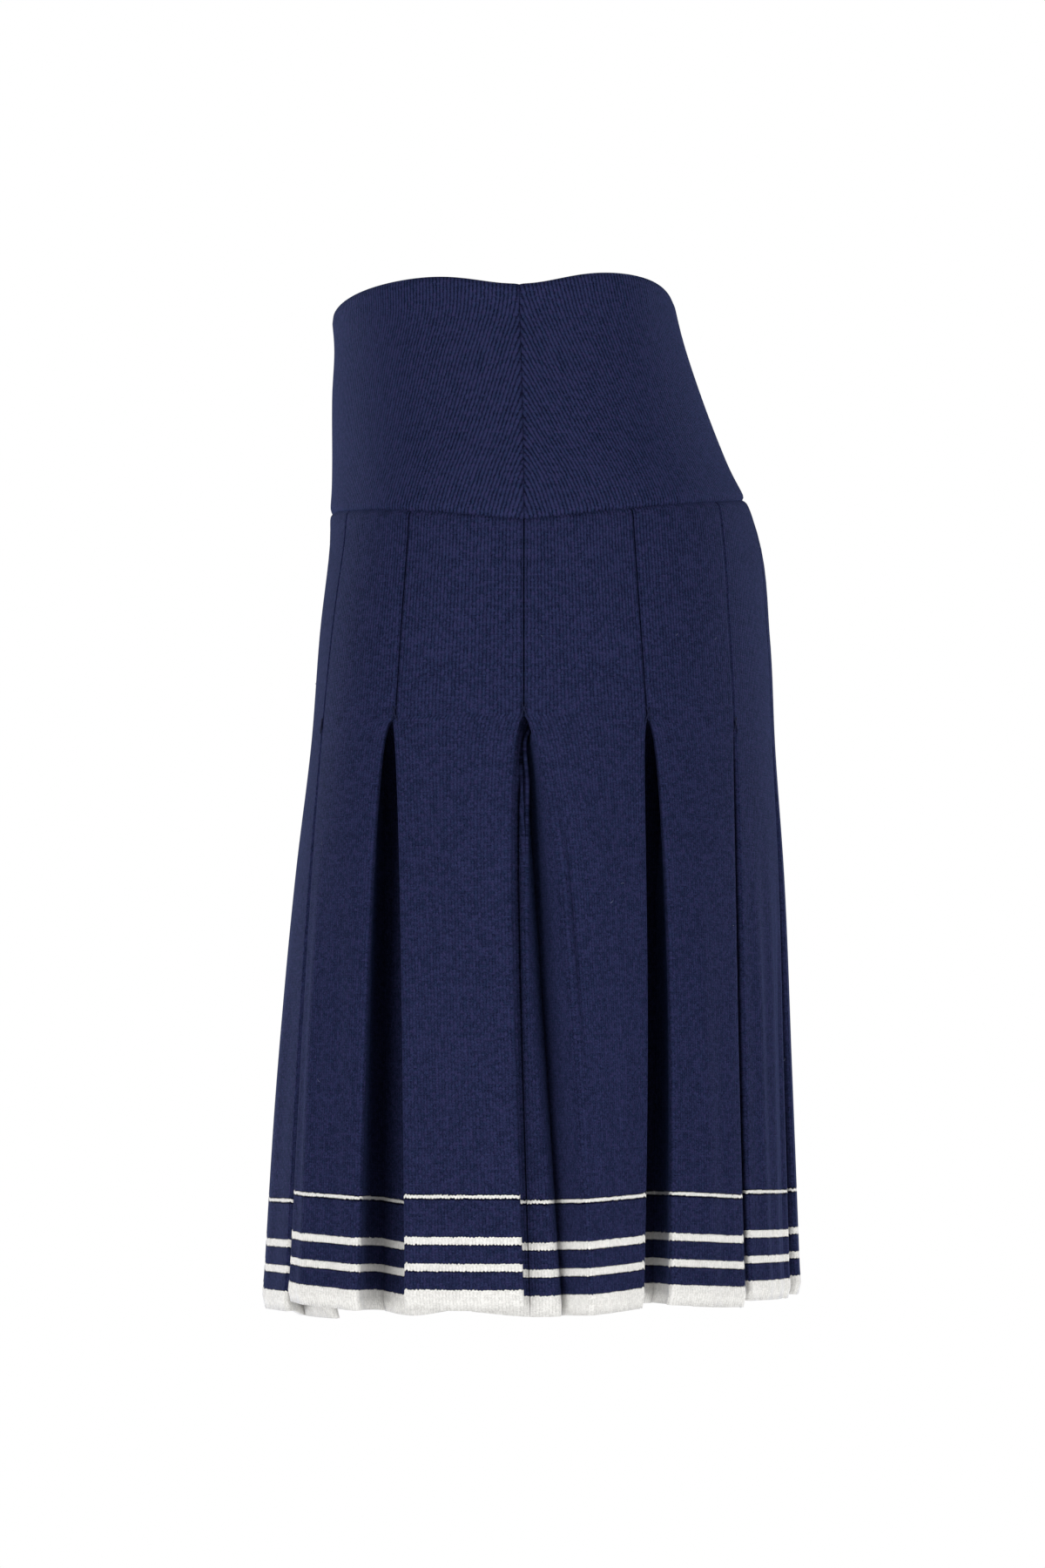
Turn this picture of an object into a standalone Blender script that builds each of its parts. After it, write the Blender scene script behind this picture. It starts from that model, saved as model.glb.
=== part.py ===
"""Knitted skirt: a close hip yoke over a skirt of flat faces with inverted box pleats.

Four knitted pieces, each one closed solid: yoke_front, yoke_back, skirt_front and
skirt_back.  Units are metres, +Z is up, the front faces -Y, the wearer's left is +X,
and the origin is the centre of the waist opening.

Every piece lies on the same outline: at any height the garment is an oval of two
quarter curves a side, which meet at the side seam.  A place on it is `turn`, from
-1 at the front centre through 0 at the side seam to +1 at the back centre, and
`depth`, the distance inwards from the outer surface.
"""

import bisect
import functools
import math
from collections import namedtuple

import bmesh
import bpy
import numpy as np
from mathutils import Vector

# ---------------------------------------------------------------- cloth and gaps
WALL = 0.0018            # thickness of the knitted cloth
SEAM_GAP = 0.0003        # air between two pieces that are sewn together
LAYER_GAP = 0.0006       # air between the folded layers of a pleat
UNDER_LAYERS = 1.5       # a stitched pleat's underlay lies this many layers under the face
CLOSED_OPENING = 0.0004  # air between two faces where their pleat is stitched shut
STITCHED_OPENING = 0.00001  # opening with which a stitched pleat is worked out

# ---------------------------------------------------------------- the oval outline
# A power of 2 makes a quarter of an ellipse, and a higher one is squarer.
Section = namedtuple("Section", "height front back half_width side_y front_power back_power")
SECTIONS = (
    Section(0.006, 0.0974, 0.0948, 0.1272, 0.0080, 2.05, 2.50),
    Section(-0.014, 0.0956, 0.0996, 0.1290, 0.0084, 2.05, 2.45),
    Section(-0.043, 0.0966, 0.1090, 0.1365, 0.0092, 2.10, 2.30),
    Section(-0.083, 0.0964, 0.1244, 0.1490, 0.0102, 2.20, 2.15),
    Section(-0.120, 0.0966, 0.1408, 0.1600, 0.0107, 2.40, 2.05),
    Section(-0.180, 0.1025, 0.1482, 0.1670, 0.0107, 2.60, 2.00),
    Section(-0.239, 0.1066, 0.1508, 0.1705, 0.0107, 2.75, 2.00),
    Section(-0.310, 0.1150, 0.1555, 0.1800, 0.0107, 2.65, 2.00),
    Section(-0.420, 0.1252, 0.1596, 0.1940, 0.0107, 2.50, 2.00),
    Section(-0.549, 0.1333, 0.1642, 0.2060, 0.0107, 2.40, 1.95),
)
QUARTER_STEPS = 96

# ---------------------------------------------------------------- levels
TOP_FRONT = 0.0006       # height of the top edge at the front centre
TOP_BACK = 0.0030        # and at the back centre
TOP_FRONT_HUMP = 0.0012  # it is this much higher again midway to the front centre
TOP_BACK_HUMP = 0.0034   # and midway to the back centre
TOP_SIDE_DIP = 0.0068    # the side seam pulls the top edge down by this much
TOP_DIP_REACH = 0.17     # in turns each way from the seam
YOKE_SEAM_FRONT = -0.109
YOKE_SEAM_SIDE = -0.136
YOKE_SEAM_BACK = -0.101
YOKE_SEAM_ROUNDING = 0.10  # in turns, where the seam levels out at a side or a centre
SLIT = -0.239            # the stitching of each pleat ends and the pleat opens
HEM = -0.545             # lower edge of the faces
UNDERLAY_DROP = 0.004    # the cloth inside a pleat hangs this much lower

# ---------------------------------------------------------------- pleats, on one side
# Places are distances round the outline from the side seam line, negative to the front:
# at the yoke seam, at the slit, and at the hem.  `opening` is the gap between the two
# faces at the hem.  Going down, the opening grows as a power of the distance from just
# above the slit, and the drift from the place at the slit to the place at the hem as
# another, with a `sway` out and back between the two.  The underlay stays shallow, as a
# ledge, across the share `ledge` of the opening, and then dives in.
Pleat = namedtuple("Pleat", "name at_yoke at_slit at_hem sway opening open_power drift_power ledge")
PLEATS = (
    Pleat("front_inner", -0.1900, -0.2105, -0.2475, 0.0, 0.0180, 0.42, 1.0, 0.0),
    Pleat("front_middle", -0.1280, -0.1450, -0.1615, 0.0, 0.0030, 0.42, 1.4, 0.0),
    Pleat("front_outer", -0.0645, -0.0700, -0.0775, 0.0, 0.0290, 0.30, 0.2, 0.0),
    Pleat("side", 0.0000, 0.0000, 0.0147, 0.0, 0.0285, 0.26, 1.3, 0.64),
    Pleat("back_outer", 0.0600, 0.0685, 0.0740, 0.0028, 0.0168, 0.06, 0.4, 0.0),
    Pleat("back_middle", 0.1300, 0.1385, 0.1475, 0.0, 0.0052, 0.01, 2.0, 0.0),
    Pleat("back_inner", 0.1975, 0.2095, 0.2275, 0.0, 0.0280, 0.42, 1.0, 0.0),
)
OPENING_ONSET = 0.006    # how far above the slit the opening's power law starts
LEDGE_LEAST = 0.002
LEDGE_DEPTH = 0.16       # of the depth that the underlay would have without its ledge
LEDGE_DIVE = math.radians(75)
LEDGE_OPENING = 0.008    # opening at which the dive is complete
FACES_A_SIDE = 7         # six whole faces and half of the two centre ones
FACE_WIDTH_SLIT = 0.0695
FACE_WIDTH_HEM = 0.0615  # the hips stretch the cloth; below the slits it relaxes
RELAXED_BY = 0.25        # of the way from the slit to the hem
RETURN_SHARE = 0.45      # width of each folded return, as a share of the face's
SIDE_SEAM_REACH = 0.0035 # how far past the front face's edge the side seam shows
SIDE_SEAM_LEAST = 0.25   # but never past this share of the opening

# ---------------------------------------------------------------- mesh rows
YOKE_COLUMNS = 13        # on each side of a yoke piece
YOKE_ROWS = 6
STITCHED_ROWS = (0.0, 0.5, 1.0)
OPEN_HEIGHTS = (-0.2500, -0.2680, -0.3000, -0.3500, -0.4150, -0.4800, HEM)

NAVY = (0.020, 0.023, 0.066, 1.0)
NAVY_STRIPED = (0.022, 0.025, 0.070, 1.0)
KNIT_ROUGHNESS = 0.92
SHARP_ANGLE = math.radians(35)

Place = namedtuple("Place", "turn depth height")


def clear_scene():
    for thing in list(bpy.data.objects):
        bpy.data.objects.remove(thing, do_unlink=True)


# ---------------------------------------------------------------- outline
TABLE = np.array(SECTIONS)
SLOPES = np.gradient(TABLE, TABLE[:, 0], axis=0)


def section_at(height):
    """The section sizes at a height, on a smooth curve through the table's rows."""
    row = 0
    while row < len(TABLE) - 2 and TABLE[row + 1, 0] > height:
        row += 1
    span = TABLE[row + 1, 0] - TABLE[row, 0]
    t = max(0.0, min(1.0, (height - TABLE[row, 0]) / span))
    sizes = (
        TABLE[row] * (2 * t ** 3 - 3 * t ** 2 + 1)
        + SLOPES[row] * span * (t ** 3 - 2 * t ** 2 + t)
        + TABLE[row + 1] * (3 * t ** 2 - 2 * t ** 3)
        + SLOPES[row + 1] * span * (t ** 3 - t ** 2)
    )
    return Section(height, *sizes.tolist()[1:])


@functools.lru_cache(maxsize=None)
def outline_at(height):
    """Points and running lengths of the left half outline, front centre to back centre.

    Returns the points, the length up to each of them, and the side seam's index.
    """
    size = section_at(height)
    front_reach = size.front + size.side_y
    back_reach = size.back - size.side_y
    points = []
    for step in range(QUARTER_STEPS + 1):
        angle = math.pi / 2 * (1 - step / QUARTER_STEPS)
        across = size.half_width * math.cos(angle) ** (2 / size.front_power)
        along = front_reach * math.sin(angle) ** (2 / size.front_power)
        points.append((across, size.side_y - along))
    for step in range(1, QUARTER_STEPS + 1):
        angle = math.pi / 2 * step / QUARTER_STEPS
        across = size.half_width * math.cos(angle) ** (2 / size.back_power)
        along = back_reach * math.sin(angle) ** (2 / size.back_power)
        points.append((across, size.side_y + along))
    lengths = [0.0]
    for start, end in zip(points, points[1:]):
        lengths.append(lengths[-1] + math.dist(start, end))
    return points, lengths, QUARTER_STEPS


def quarter_lengths(height):
    """Length of the outline from the front centre to the side, and on to the back centre."""
    _, lengths, side = outline_at(height)
    return lengths[side], lengths[-1] - lengths[side]


def to_turn(height, distance):
    """The turn of a place given by its distance from the side seam line."""
    front, back = quarter_lengths(height)
    return distance / front if distance < 0 else distance / back


def outline_point(height, turn):
    """Point of the outline at a turn; past a centre it goes on round the other side."""
    if turn > 1 or turn < -1:
        x, y = outline_point(height, math.copysign(2, turn) - turn)
        return -x, y
    points, lengths, side = outline_at(height)
    front, back = quarter_lengths(height)
    length = front + turn * (front if turn < 0 else back)
    index = min(bisect.bisect_right(lengths, length), len(lengths) - 1)
    share = (length - lengths[index - 1]) / (lengths[index] - lengths[index - 1])
    (x0, y0), (x1, y1) = points[index - 1], points[index]
    return x0 + (x1 - x0) * share, y0 + (y1 - y0) * share


def on_garment(place):
    """World point of a place, moved inwards from the outline by its depth."""
    reach = 0.01
    x, y = outline_point(place.height, place.turn)
    x0, y0 = outline_point(place.height, place.turn - reach)
    x1, y1 = outline_point(place.height, place.turn + reach)
    run = math.hypot(x1 - x0, y1 - y0)
    inward = (-(y1 - y0) / run, (x1 - x0) / run)
    return Vector((x + inward[0] * place.depth, y + inward[1] * place.depth, place.height))


# ---------------------------------------------------------------- edges and levels
def top_height(turn):
    level = TOP_FRONT + (TOP_BACK - TOP_FRONT) * (turn + 1) / 2
    level += (TOP_FRONT_HUMP if turn < 0 else TOP_BACK_HUMP) * math.sin(math.pi * turn) ** 2
    return level - TOP_SIDE_DIP * math.exp(-((turn / TOP_DIP_REACH) ** 2))


def yoke_seam_height(turn):
    """The yoke seam falls evenly from each centre to the side, and levels out at both."""
    away = abs(turn)
    ends = math.hypot(1.0, YOKE_SEAM_ROUNDING) - YOKE_SEAM_ROUNDING
    near = math.hypot(away, YOKE_SEAM_ROUNDING)
    far = math.hypot(1.0 - away, YOKE_SEAM_ROUNDING)
    share = (near - far + ends) / (2 * ends)
    centre = YOKE_SEAM_FRONT if turn < 0 else YOKE_SEAM_BACK
    return YOKE_SEAM_SIDE + (centre - YOKE_SEAM_SIDE) * share


# ---------------------------------------------------------------- pleats
# A pleat is worked out flat, as distance round the outline and depth below it, and is
# then bent round the garment by turning the distances into turns.
PleatCut = namedtuple("PleatCut", "height front_edge back_edge corners seam")


def folded_edge(before, fold, after):
    """The two corners of a fold, half a layer to each side of its middle."""
    along = ((fold - before).normalized() - (after - fold).normalized()).normalized()
    aside = Vector((along.y, -along.x)) * (WALL + LAYER_GAP) / 2
    return fold - aside, fold + aside


def pleat_cut(pleat, height, middle, opening, face_width):
    """Corners of the cloth's mid surface through one pleat.

    From the front face's edge back under that face, across as the underlay, back out
    under the rear face, to that face's edge.  The cloth doesn't stretch: each return
    keeps its width, so a wider opening takes the underlay deeper.
    """
    layer = WALL + LAYER_GAP
    skin = WALL / 2
    width = RETURN_SHARE * face_width
    half_gap = opening / 2
    depth = math.sqrt(width * opening - half_gap ** 2)
    dive = 0.0
    if pleat.ledge:
        depth *= LEDGE_DEPTH
        dive = LEDGE_DIVE * min(1.0, opening / LEDGE_OPENING)
    front_edge = middle - half_gap - CLOSED_OPENING / 2 - skin
    back_edge = middle + half_gap + CLOSED_OPENING / 2 + skin
    front_fold = middle - half_gap - math.sqrt(width ** 2 - depth ** 2)
    bend = middle - half_gap + max(LEDGE_LEAST, pleat.ledge * opening)
    rear = front_fold + 2 * width - bend
    down = skin + UNDER_LAYERS * layer + depth
    front_start = Vector((front_edge, skin + layer))
    front_turn = Vector((front_fold, down))
    bend_point = Vector((bend, down + layer / 2))
    back_turn = Vector((bend + rear * math.cos(dive), down + rear * math.sin(dive)))
    back_end = Vector((back_edge, skin + layer))
    corners = [
        Vector((front_edge, skin)),
        front_start,
        *folded_edge(front_start, front_turn, bend_point),
        bend_point,
        *folded_edge(bend_point, back_turn, back_end),
        back_end,
        Vector((back_edge, skin)),
    ]
    seam = middle - half_gap + min(SIDE_SEAM_REACH, SIDE_SEAM_LEAST * opening)
    return PleatCut(height, front_edge, back_edge, corners, seam)


def stitched_cut(pleat, level):
    """A pleat where it is stitched shut: level is 0 at the yoke seam and 1 at the slit."""
    height = YOKE_SEAM_SIDE + (SLIT - YOKE_SEAM_SIDE) * level
    middle = pleat.at_yoke + (pleat.at_slit - pleat.at_yoke) * level
    face_width = sum(quarter_lengths(height)) / FACES_A_SIDE
    return pleat_cut(pleat, height, middle, STITCHED_OPENING, face_width)


def opening_share(fall, power):
    """The opening at a share of the way from the slit to the hem, as a share of the hem's."""
    onset = OPENING_ONSET ** power
    return ((fall + OPENING_ONSET) ** power - onset) / ((1 + OPENING_ONSET) ** power - onset)


def open_cut(pleat, height):
    """A pleat below the slit."""
    fall = (SLIT - height) / (SLIT - HEM)
    opening = max(STITCHED_OPENING, pleat.opening * opening_share(fall, pleat.open_power))
    middle = pleat.at_slit + (pleat.at_hem - pleat.at_slit) * fall ** pleat.drift_power
    middle += pleat.sway * math.sin(math.pi * fall)
    relaxed = min(1.0, fall / RELAXED_BY)
    face_width = FACE_WIDTH_SLIT + (FACE_WIDTH_HEM - FACE_WIDTH_SLIT) * relaxed
    return pleat_cut(pleat, height, middle, opening, face_width)


UNDERLAY_CORNERS = range(2, 7)
BEND_CORNER = 4
FACE_CORNERS = (0.25, 0.5, 0.75)
Corner = namedtuple("Corner", "turn depth is_underlay")


def half_skirt(cuts):
    """Corners of the front piece and of the back piece on the left side.

    The front ones run from the front centre to the side seam, and the back ones from
    the seam to the back centre.
    """
    height = cuts[0].height
    skin = WALL / 2
    front = [Corner(-1.0, skin, False)]
    back = []
    side = len(cuts) // 2
    for number, cut in enumerate(cuts):
        piece = front if number <= side else back
        edge = to_turn(height, cut.front_edge)
        last = to_turn(height, cuts[number - 1].back_edge) if number else -1.0
        shares = FACE_CORNERS if number else FACE_CORNERS[1:2]
        piece.extend(Corner(last + (edge - last) * share, skin, False) for share in shares)
        corners = [
            Corner(to_turn(height, corner.x), corner.y, index in UNDERLAY_CORNERS)
            for index, corner in enumerate(cut.corners)
        ]
        if number == side:
            seam_depth = corners[BEND_CORNER].depth
            front.extend(corners[:BEND_CORNER])
            front.append(Corner(to_turn(height, cut.seam - SEAM_GAP / 2), seam_depth, True))
            back.append(Corner(to_turn(height, cut.seam + SEAM_GAP / 2), seam_depth, True))
            back.extend(corners[BEND_CORNER:])
        else:
            piece.extend(corners)
    last = to_turn(height, cuts[-1].back_edge)
    back.append(Corner((last + 1.0) / 2, skin, False))
    back.append(Corner(1.0, skin, False))
    return front, back


def stitched_row(level, piece):
    """Places of one piece's left half between the yoke seam (0) and the slit (1)."""
    row = []
    for corner in half_skirt([stitched_cut(pleat, level) for pleat in PLEATS])[piece]:
        seam = yoke_seam_height(corner.turn)
        row.append(Place(corner.turn, corner.depth, seam + (SLIT - seam) * level))
    return row


def open_row(height, piece):
    """Places of one piece's left half at a height below the slit."""
    fall = (SLIT - height) / (SLIT - HEM)
    return [
        Place(corner.turn, corner.depth, height - UNDERLAY_DROP * fall * corner.is_underlay)
        for corner in half_skirt([open_cut(pleat, height) for pleat in PLEATS])[piece]
    ]


def yoke_row(level, first_turn, last_turn):
    """Places across a yoke piece's left half: level is 0 at the yoke seam and 1 at the top."""
    row = []
    for column in range(YOKE_COLUMNS + 1):
        turn = first_turn + (last_turn - first_turn) * column / YOKE_COLUMNS
        low = yoke_seam_height(turn) + SEAM_GAP
        row.append(Place(turn, WALL / 2, low + (top_height(turn) - low) * level))
    return row


# ---------------------------------------------------------------- solids
def whole_piece(left_row, starts_at_centre):
    """Mid points of a whole piece, from the wearer's right to the left, or back round."""
    left = [on_garment(place) for place in left_row]
    right = [Vector((-point.x, point.y, point.z)) for point in reversed(left)]
    if starts_at_centre:
        return right[:-1] + left
    return left + right[1:]


def thicken(row):
    """The row moved half a wall to each side in plan, with mitred corners."""
    outer, inner = [], []
    for index, point in enumerate(row):
        normals = []
        for start, end in ((index - 1, index), (index, index + 1)):
            if start < 0 or end >= len(row):
                continue
            step = row[end] - row[start]
            normals.append(Vector((step.y, -step.x, 0.0)).normalized())
        mitre = normals[0]
        if len(normals) == 2:
            mitre = (normals[0] + normals[1]) / (1 + normals[0].dot(normals[1]))
        outer.append(point + mitre * WALL / 2)
        inner.append(point - mitre * WALL / 2)
    return outer, inner


def cloth_solid(name, rows, colour):
    """A closed wall through rows of mid points, given from the top row down."""
    mesh = bmesh.new()
    loops = []
    for row in rows:
        outer, inner = thicken(row)
        loops.append([mesh.verts.new(point) for point in outer + inner[::-1]])
    count = len(loops[0])
    for upper, lower in zip(loops, loops[1:]):
        for index in range(count):
            following = (index + 1) % count
            mesh.faces.new((upper[index], lower[index], lower[following], upper[following]))
    for loop, closes_top in ((loops[0], True), (loops[-1], False)):
        for index in range(count // 2 - 1):
            face = [loop[index], loop[index + 1], loop[count - 2 - index], loop[count - 1 - index]]
            mesh.faces.new(face if closes_top else face[::-1])
    bmesh.ops.recalc_face_normals(mesh, faces=mesh.faces)
    bmesh.ops.triangulate(mesh, faces=mesh.faces)
    data = bpy.data.meshes.new(name)
    mesh.to_mesh(data)
    mesh.free()
    thing = bpy.data.objects.new(name, data)
    bpy.context.scene.collection.objects.link(thing)
    data.materials.append(knit_material(name + "_knit", colour))
    data.shade_smooth()
    data.set_sharp_from_angle(angle=SHARP_ANGLE)
    return thing


def knit_material(name, colour):
    material = bpy.data.materials.new(name)
    material.use_nodes = True
    shader = material.node_tree.nodes["Principled BSDF"]
    shader.inputs["Base Color"].default_value = colour
    shader.inputs["Roughness"].default_value = KNIT_ROUGHNESS
    shader.inputs["Metallic"].default_value = 0.0
    return material


def make_yoke(name, is_front):
    front, back = quarter_lengths(YOKE_SEAM_SIDE)
    if is_front:
        first, last = -1.0, -SEAM_GAP / 2 / front
    else:
        first, last = SEAM_GAP / 2 / back, 1.0
    rows = [
        whole_piece(yoke_row(1 - row / YOKE_ROWS, first, last), is_front)
        for row in range(YOKE_ROWS + 1)
    ]
    return cloth_solid(name, rows, NAVY)


def make_skirt(name, is_front):
    piece = 0 if is_front else 1
    rows = [stitched_row(level, piece) for level in STITCHED_ROWS]
    rows += [open_row(height, piece) for height in OPEN_HEIGHTS]
    return cloth_solid(name, [whole_piece(row, is_front) for row in rows], NAVY_STRIPED)


def main():
    clear_scene()
    garment = bpy.data.objects.new("skirt", None)
    bpy.context.scene.collection.objects.link(garment)
    pieces = [
        make_yoke("yoke_front", True),
        make_yoke("yoke_back", False),
        make_skirt("skirt_front", True),
        make_skirt("skirt_back", False),
    ]
    for piece in pieces:
        piece.parent = garment


main()
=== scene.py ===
"""Looks of a knitted skirt with a hip yoke and inverted box pleats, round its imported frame.

Four cloth shells replace the four solids.  They lie on the same oval outline: a place on
it is `turn`, from -1 at the front centre through 0 at the side seam to +1 at the back
centre, and `depth`, the distance inwards from the outer surface.  Metres throughout.
"""

import math
from collections import namedtuple

import bpy
import numpy as np
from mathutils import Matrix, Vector


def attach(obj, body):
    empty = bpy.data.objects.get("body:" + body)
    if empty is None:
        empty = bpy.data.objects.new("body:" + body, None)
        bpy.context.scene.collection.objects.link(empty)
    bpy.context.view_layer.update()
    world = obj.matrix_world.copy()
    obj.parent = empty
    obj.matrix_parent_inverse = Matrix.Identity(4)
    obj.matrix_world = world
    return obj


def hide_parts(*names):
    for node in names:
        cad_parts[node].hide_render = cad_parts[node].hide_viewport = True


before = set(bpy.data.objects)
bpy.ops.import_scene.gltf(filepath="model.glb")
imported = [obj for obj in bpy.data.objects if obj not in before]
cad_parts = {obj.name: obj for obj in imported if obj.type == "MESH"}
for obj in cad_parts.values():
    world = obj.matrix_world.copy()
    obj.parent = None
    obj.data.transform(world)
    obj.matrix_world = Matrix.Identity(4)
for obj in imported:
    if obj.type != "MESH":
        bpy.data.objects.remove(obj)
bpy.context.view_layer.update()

# ---------------------------------------------------------------- camera and light
CAMERA_AT = Vector((2.2757, 0.0095, -0.4692))
CAMERA_AIM = Vector((0.0, 0.0100, -0.3565))
CAMERA_SHIFT = 0.111      # keeps the upright lines upright, as a share of the picture's height
FOCAL_MM = 93.88
SENSOR_MM = 36.0

Softbox = namedtuple("Softbox", "name place width height watts")
SOFTBOXES = (
    Softbox("front_left_softbox", (1.55, -1.49, 0.20), 1.7, 1.8, 37.0),
    Softbox("back_left_softbox", (1.47, 1.57, 0.20), 1.7, 1.8, 34.0),
    Softbox("front_right_softbox", (-1.65, -1.38, 0.20), 0.8, 1.8, 30.0),
    Softbox("back_right_softbox", (-1.50, 1.52, 0.20), 0.8, 1.8, 24.0),
)
SOFTBOX_AIM = Vector((0.0, 0.0, -0.28))
AMBIENT = 0.07            # the white world's strength as a light
BACKDROP = 1.0            # and as the camera sees it
FLOOR_Z = -0.95
FLOOR_RADIUS = 2.1
FLOOR_SIDES = 96
FLOOR_COLOUR = (0.93, 0.93, 0.93, 1.0)
FLOOR_GLOW = 0.45

# ---------------------------------------------------------------- cloth and gaps
MILLIMETRE = 0.001
WALL = 0.0018
FOLD_RADIUS = 0.0012      # of the cloth's mid surface, in a pressed fold
STITCHED_RADIUS = 0.0006  # and in the edges that are stitched together
SEAM_GAP = 0.0003
CLOSED_OPENING = 0.0003   # gap between two faces whose pleat is stitched shut
LEAST_OPENING = 0.00001   # a shut pleat is worked out with this much

# ---------------------------------------------------------------- the oval outline
# A power of 2 makes a quarter of an ellipse, and a higher one is squarer.
Section = namedtuple("Section", "height front back half_width side_y front_power back_power")
SECTIONS = (
    Section(0.006, 0.0974, 0.0948, 0.1272, 0.0080, 2.05, 2.50),
    Section(-0.014, 0.0956, 0.0996, 0.1290, 0.0084, 2.05, 2.45),
    Section(-0.043, 0.0966, 0.1090, 0.1365, 0.0092, 2.10, 2.30),
    Section(-0.083, 0.0964, 0.1244, 0.1490, 0.0102, 2.20, 2.15),
    Section(-0.120, 0.0966, 0.1408, 0.1600, 0.0107, 2.40, 2.05),
    Section(-0.180, 0.1025, 0.1482, 0.1670, 0.0107, 2.60, 2.00),
    Section(-0.239, 0.1066, 0.1508, 0.1705, 0.0107, 2.75, 2.00),
    Section(-0.310, 0.1150, 0.1555, 0.1800, 0.0107, 2.65, 2.00),
    Section(-0.420, 0.1252, 0.1596, 0.1940, 0.0107, 2.50, 2.00),
    Section(-0.549, 0.1333, 0.1642, 0.2060, 0.0107, 2.40, 1.95),
)
# The outline is worked out once, on a grid that goes a little past the garment's edges.
TABLE_TOP = 0.012
TABLE_BOTTOM = -0.560
TABLE_STEP = 0.002
TABLE_TURN_END = 1.1
TABLE_TURNS = 1101
TABLE_MARGIN = 1.001      # rows kept below a place, so that it has a row on both sides

# ---------------------------------------------------------------- levels
TOP_FRONT = 0.0006
TOP_BACK = 0.0030
TOP_FRONT_HUMP = 0.0012
TOP_BACK_HUMP = 0.0034
TOP_SIDE_DIP = 0.0068
TOP_DIP_REACH = 0.17
YOKE_SEAM_FRONT = -0.109
YOKE_SEAM_SIDE = -0.136
YOKE_SEAM_BACK = -0.101
YOKE_SEAM_ROUNDING = 0.10
SLIT = -0.239
HEM = -0.545
STITCHED_DEPTH = YOKE_SEAM_SIDE - SLIT

# ---------------------------------------------------------------- pleats, on one side
# Places are distances round the outline from the side seam line, negative to the front.
# Going down, the opening grows as a power of the distance from just above the slit, and
# the drift from the place at the slit to the place at the hem as another, with a `sway`
# out and back between the two.
Pleat = namedtuple("Pleat", "name at_yoke at_slit at_hem sway opening open_power drift_power")
PLEATS = (
    Pleat("front_inner", -0.1900, -0.2105, -0.2475, 0.0, 0.0180, 0.42, 1.0),
    Pleat("front_middle", -0.1280, -0.1450, -0.1615, 0.0, 0.0030, 0.42, 1.4),
    Pleat("front_outer", -0.0645, -0.0700, -0.0775, 0.0, 0.0290, 0.30, 0.2),
    Pleat("side", 0.0000, 0.0000, 0.0147, 0.0008, 0.0285, 0.18, 1.3),
    Pleat("back_outer", 0.0600, 0.0685, 0.0740, 0.0028, 0.0168, 0.06, 0.4),
    Pleat("back_middle", 0.1300, 0.1385, 0.1475, 0.0, 0.0052, 0.01, 2.0),
    Pleat("back_inner", 0.1975, 0.2095, 0.2275, 0.0, 0.0280, 0.42, 1.0),
)
SIDE_PLEAT = 3            # its place among the pleats
OPENING_ONSET = 0.006     # how far above the slit the opening's power law starts
FACE_WIDTH = 0.0615       # of the relaxed cloth
RETURN_WIDTH = 0.0277
RETURN_WIDTH_SLIT = 0.0308
RETURN_BOW = 0.08         # how far a return bows, as a share of the pleat's depth
RELAXED_BY = 0.25         # of the way from the slit to the hem
SOFT_EDGE = 0.0050        # radius of the side pleat's rear edge, which only rolls in

# The side pleat's underlay stays shallow across a share of the opening, and then dives in.
# The table gives that share at shares of the way from the slit to the hem.
LEDGE_SHARES = (
    (0.00, 0.30),
    (0.10, 0.30),
    (0.22, 0.35),
    (0.50, 0.38),
    (0.72, 0.53),
    (1.00, 0.69),
)
LEDGE_DEPTH = 0.16        # of the depth that the underlay would have without its ledge
DIVE_SHORT = 0.0045       # how far the dive stops short of the back face's edge
DIVE_FLATTEST = 0.85      # cosine of the dive's least slope
DIVE_OPENING = 0.008      # opening at which the dive is complete
SIDE_SEAM_SHARE = 0.56    # the side seam's place across the side pleat's underlay
SIDE_SEAM_AT_HEM = 0.545  # and at the hem
SIDE_SEAM_SLIPS = 0.40    # from this share of the way to the hem

# How far the cloth hangs below the even hem line, in millimetres: at the front face's
# edge, in the underlay, and at the back face's edge.  The underlay hangs fully from the
# share `reach` of the way to the pleat's middle, and gives way inwards by `sink` more than
# taut cloth would.
Hang = namedtuple("Hang", "front under back sink reach", defaults=(1.0,))
HANGS = {
    "left": (
        Hang(1.0, 4.0, 3.0, 3.0),
        Hang(3.2, 6.4, -2.1, 3.0, 0.55),
        Hang(0.9, 3.9, 0.0, 1.0),
        Hang(0.0, 3.3, 2.6, 0.0),
        Hang(-0.7, -2.0, -1.9, 7.0),
        Hang(0.6, -2.0, -2.5, 2.0),
        Hang(-2.2, -2.2, -3.0, 4.0),
    ),
    "right": (
        Hang(0.6, 3.2, -1.0, 3.0),
        Hang(1.2, 4.0, -2.0, 2.0),
        Hang(-0.6, 3.0, 0.8, 3.0),
        Hang(0.4, 3.8, 2.4, 0.0),
        Hang(-0.8, 1.2, -2.0, 5.0),
        Hang(0.6, 2.2, -1.6, 2.0),
        Hang(-2.2, -1.4, -3.0, 4.0),
    ),
}
SUNK_BY = 0.3             # of the way from the slit to the hem

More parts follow.
